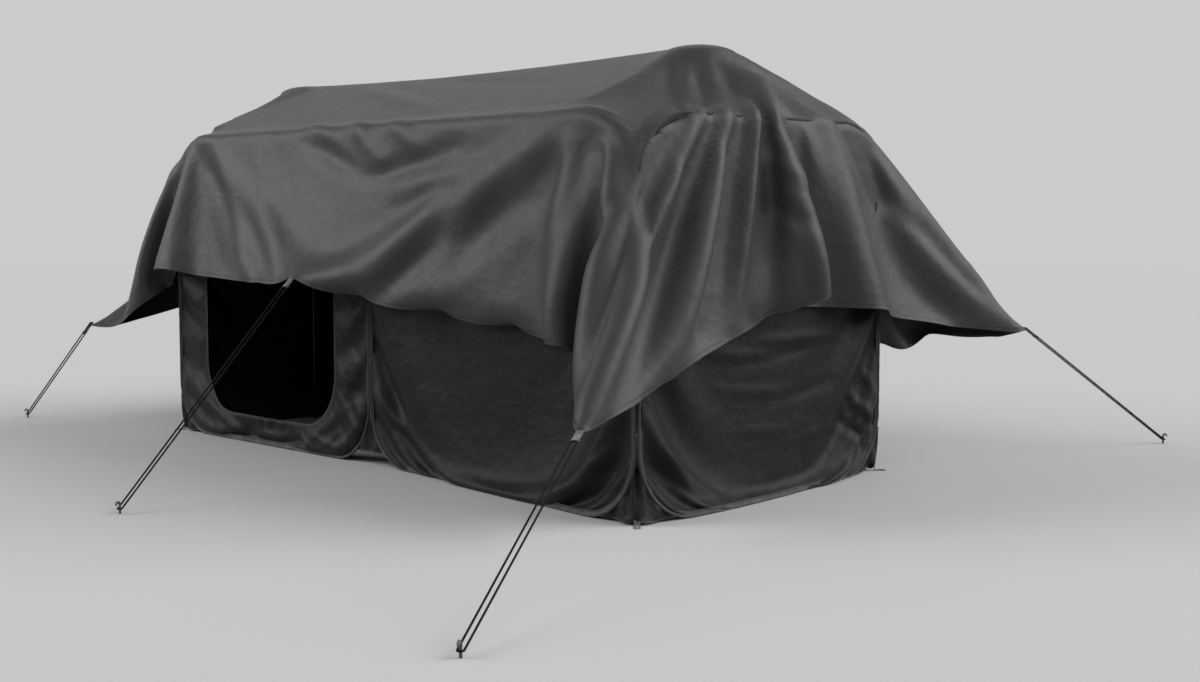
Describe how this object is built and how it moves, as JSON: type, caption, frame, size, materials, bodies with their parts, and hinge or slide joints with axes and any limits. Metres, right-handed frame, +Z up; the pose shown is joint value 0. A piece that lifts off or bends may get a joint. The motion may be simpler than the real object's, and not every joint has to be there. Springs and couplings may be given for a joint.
{
  "type": "observatory tent",
  "caption": "Floorless two-room pop-up tent of sprung hoop panels, with a doorway, under a ridged rain tarp guyed to pegs.",
  "frame": {"origin": "on the ground, under the middle of the tent's bounding box", "axes": "+X along the tent towards the end without the doorway, -Y to the front wall, +Z up"},
  "size_m": [5.4333, 4.9059, 1.8041],
  "materials": {
    "tent_cloth": "coated polyester, satin",
    "tarp_cloth": "coated polyester, satin",
    "sleeve": "woven binding tape",
    "webbing": "flat woven webbing",
    "cord": "braided cord",
    "peg_plastic": "moulded, matte",
    "pole_metal": "drawn tube"
  },
  "bodies": {
    "root": {"front_left_panel": "tent_cloth", "front_right_panel": "tent_cloth", "back_left_panel": "tent_cloth", "back_right_panel": "tent_cloth", "left_end_panel": "tent_cloth", "right_end_panel": "tent_cloth", "front_left_hoop": "sleeve", "front_right_hoop": "sleeve", "back_left_hoop": "sleeve", "back_right_hoop": "sleeve", "left_end_hoop": "sleeve", "right_end_hoop": "sleeve", "front_left_gusset": "tent_cloth", "front_right_gusset": "tent_cloth", "back_left_gusset": "tent_cloth", "back_right_gusset": "tent_cloth", "front_middle_gusset": "tent_cloth", "back_middle_gusset": "tent_cloth", "front_left_strap": "webbing", "front_right_strap": "webbing", "back_left_strap": "webbing", "back_right_strap": "webbing", "rain_tarp": "tarp_cloth", "front_left_tab": "webbing", "front_middle_tab": "webbing", "front_right_tab": "webbing", "back_left_tab": "webbing", "back_middle_tab": "webbing", "back_right_tab": "webbing", "front_left_guy": "cord", "front_middle_guy": "cord", "front_right_guy": "cord", "back_left_guy": "cord", "back_middle_guy": "cord", "back_right_guy": "cord", "front_left_peg": "peg_plastic", "front_middle_peg": "peg_plastic", "front_right_peg": "peg_plastic", "back_left_peg": "peg_plastic", "back_middle_peg": "peg_plastic", "back_right_peg": "peg_plastic", "left_ridge_pole": "pole_metal", "left_pole_cap": "peg_plastic", "right_ridge_pole": "pole_metal", "right_pole_cap": "peg_plastic"}
  },
  "joints": []
}
